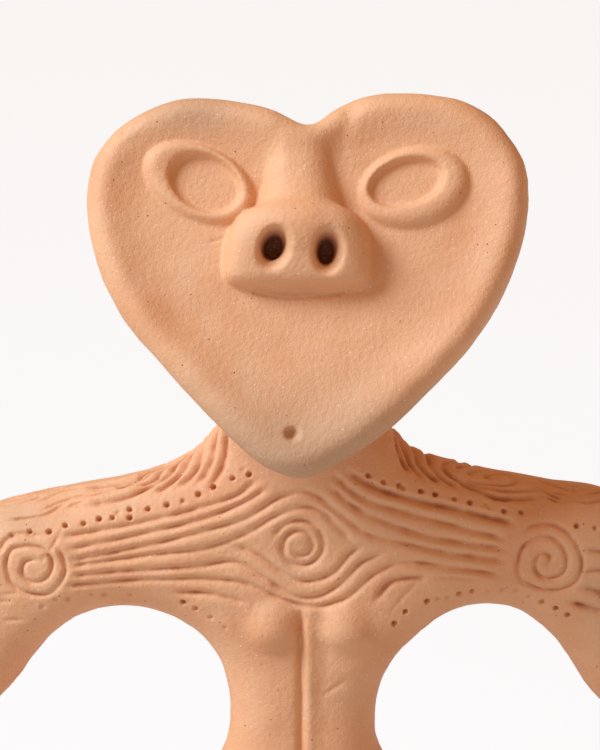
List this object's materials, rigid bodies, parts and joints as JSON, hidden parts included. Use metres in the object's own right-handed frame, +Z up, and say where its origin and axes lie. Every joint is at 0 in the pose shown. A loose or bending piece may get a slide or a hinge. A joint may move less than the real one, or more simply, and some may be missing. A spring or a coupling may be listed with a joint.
{
  "type": "heart-faced clay figurine",
  "caption": "Heart-faced fired clay figurine, standing on flat feet, with ringed eyes, a snout-like nose, bowed arms and legs, and spirals and lines cut in the clay.",
  "frame": {"origin": "on the floor between the soles, under the middle of the figure's bounding box", "axes": "+Z up from the soles to the top of the heart, the face towards -Y, +X towards the figure's left arm, which is on the right as seen from the front"},
  "size_m": [0.2206, 0.0708, 0.305],
  "materials": {
    "terracotta": "unglazed light orange fired clay, matt, fine sandy grain"
  },
  "bodies": {
    "root": {"heart_figurine": "terracotta"}
  },
  "joints": []
}
